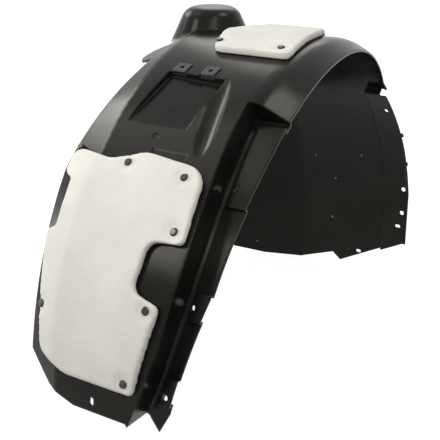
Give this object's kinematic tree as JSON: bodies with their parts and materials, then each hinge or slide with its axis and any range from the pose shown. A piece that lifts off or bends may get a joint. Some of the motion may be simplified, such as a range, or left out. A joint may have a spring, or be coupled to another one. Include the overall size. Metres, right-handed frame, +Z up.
{
  "type": "wheel arch liner",
  "caption": "Curved liner for a car's front wheel arch: thin black moulded shell with a stepped rear flange, a strut tower bulge and pale felt pads held by push rivets.",
  "frame": {"origin": "centre of the pair of fixing holes in the front flange, on the flange's forward face", "axes": "+X forward along the car, -Y outboard towards the wheel's outer side, +Z up"},
  "size_m": [0.8257, 0.451, 0.52],
  "materials": {
    "shell_plastic": "satin moulded",
    "felt": "needled felt",
    "rivet_plastic": "glossy",
    "nut_steel": "black phosphated"
  },
  "bodies": {
    "root": {"liner_shell": "shell_plastic", "rear_felt_pad": "felt", "top_felt_pad": "felt", "pad_rivets": "rivet_plastic", "u_nuts": "nut_steel"}
  },
  "joints": []
}
